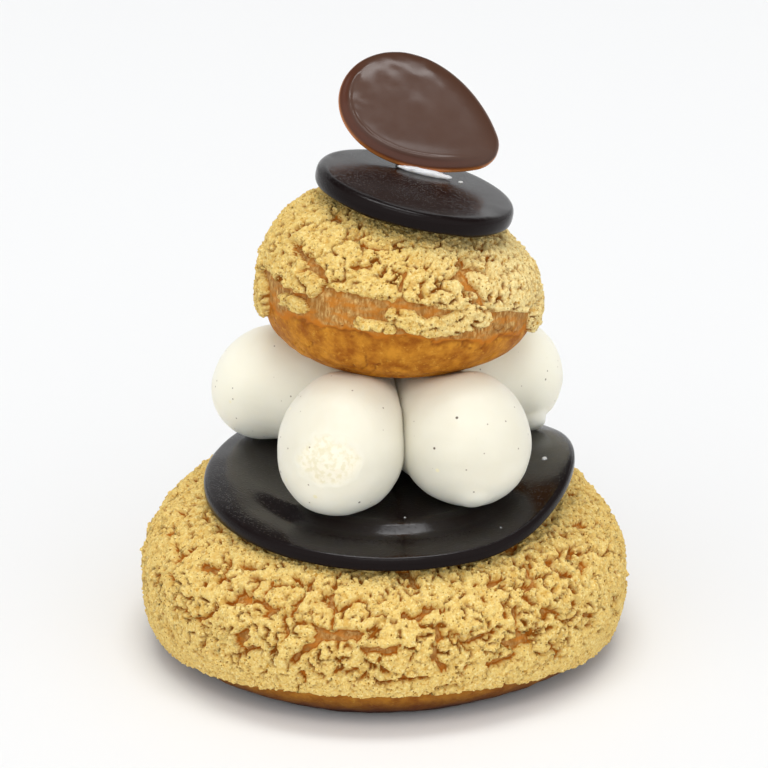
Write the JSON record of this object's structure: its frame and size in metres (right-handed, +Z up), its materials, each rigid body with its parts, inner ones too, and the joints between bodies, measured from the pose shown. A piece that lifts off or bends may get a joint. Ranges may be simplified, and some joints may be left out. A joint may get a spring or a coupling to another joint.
{
  "type": "religieuse choux pastry",
  "caption": "Small choux bun stacked on a large one, both under a craquelin crust, with chocolate discs, piped cream drops between them and a chocolate petal on top.",
  "frame": {"origin": "on the table, under the middle of the large bun's outline", "axes": "+Z up, from the large bun to the petal; -Y is the front, where the petal's face and the seam between two cream drops show; +X is to the right"},
  "size_m": [0.074, 0.0712, 0.0864],
  "materials": {
    "baked_choux": "baked, orange-brown, dry",
    "craquelin": "baked biscuit crust, golden, crumbly and cracked",
    "dark_chocolate": "tempered, satin gloss",
    "milk_chocolate": "tempered, satin, warmer and thinner at its edge",
    "vanilla_cream": "soft, moist, specked with vanilla"
  },
  "bodies": {
    "root": {"large_choux": "baked_choux", "large_craquelin": "craquelin", "large_disc": "dark_chocolate", "cream_front_left": "vanilla_cream", "cream_front_right": "vanilla_cream", "cream_rear_right": "vanilla_cream", "cream_rear": "vanilla_cream", "cream_rear_left": "vanilla_cream", "small_choux": "baked_choux", "small_craquelin": "craquelin", "small_disc": "dark_chocolate", "cream_dab": "vanilla_cream", "petal": "milk_chocolate"}
  },
  "joints": []
}
